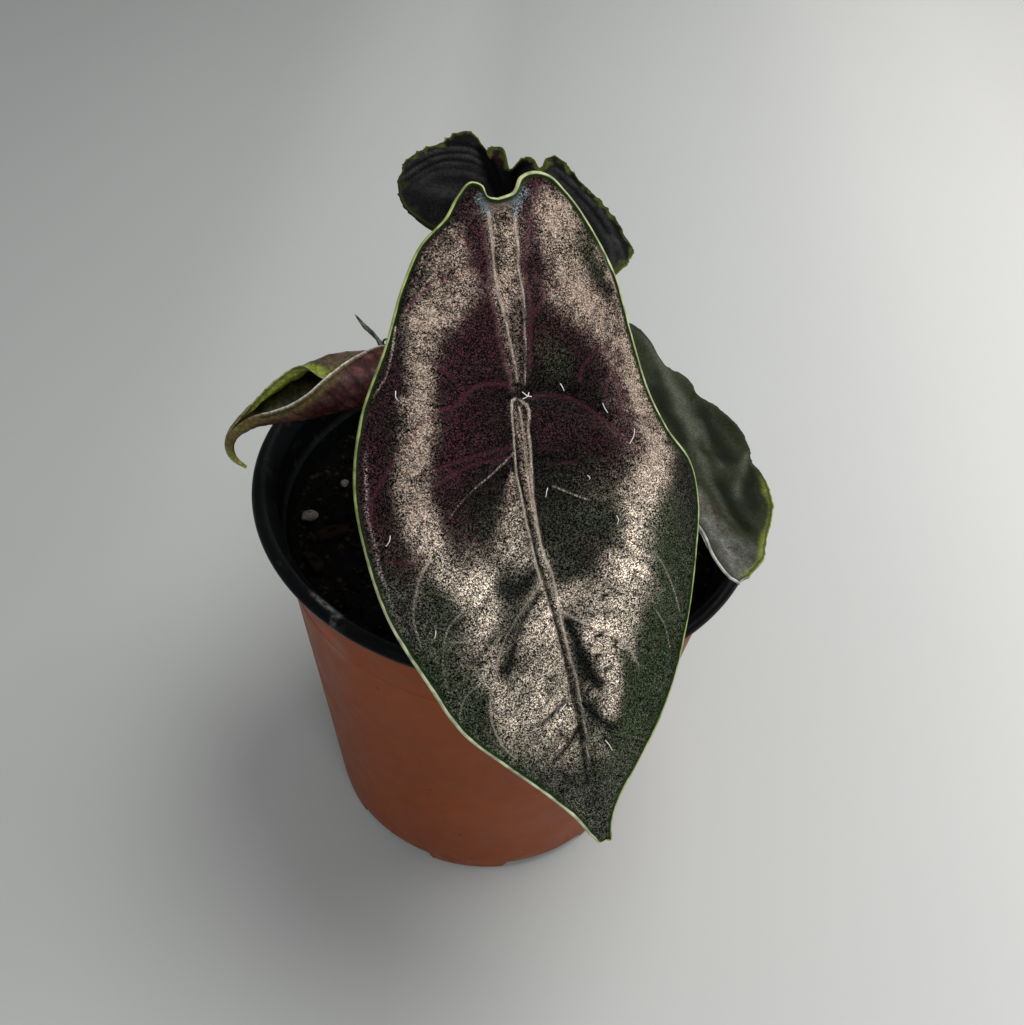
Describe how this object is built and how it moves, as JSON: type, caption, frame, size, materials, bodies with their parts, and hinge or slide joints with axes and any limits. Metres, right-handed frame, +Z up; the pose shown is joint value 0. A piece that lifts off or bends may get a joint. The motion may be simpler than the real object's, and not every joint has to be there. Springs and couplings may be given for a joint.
{
  "type": "potted plant",
  "caption": "Young alocasia with broad shield-shaped dark leaves and a rolled new leaf, in a round tapered nursery pot with a rolled rim.",
  "frame": {"origin": "middle of the pot's underside, where it rests", "axes": "+Z up; -Y towards the viewer, the side the front leaf hangs over; +X to the viewer's right, the side of the right leaf"},
  "size_m": [0.1238, 0.1681, 0.1955],
  "materials": {
    "terracotta_plastic": "moulded plastic, terracotta below a dark rim and lining",
    "potting_mix": "damp fibrous potting mix, nearly black",
    "sheath": "papery olive-brown leaf sheaths",
    "mauve_stalk": "smooth mauve-brown stalk",
    "green_stalk": "smooth olive-green stalk",
    "front_leaf": "satin, dark with a granular bronze sheen and a pale edge",
    "back_leaf": "satin charcoal with an olive edge",
    "right_leaf": "satin dark grey-green with a yellow-green edge",
    "young_leaf": "maroon outside, lime green inside",
    "dried_leaf": "withered, matt",
    "perlite": "porous, off-white",
    "bark": "rough brown bark"
  },
  "bodies": {
    "root": {"pot": "terracotta_plastic", "soil": "potting_mix", "crown": "sheath", "front_petiole": "mauve_stalk", "back_petiole": "mauve_stalk", "right_petiole": "green_stalk", "young_petiole": "green_stalk", "front_blade": "front_leaf", "back_blade": "back_leaf", "right_blade": "right_leaf", "young_blade": "young_leaf", "dried_tip": "dried_leaf", "perlite_1": "perlite", "perlite_2": "perlite", "perlite_3": "perlite", "bark_1": "bark", "bark_2": "bark", "bark_3": "bark", "bark_4": "bark"}
  },
  "joints": []
}
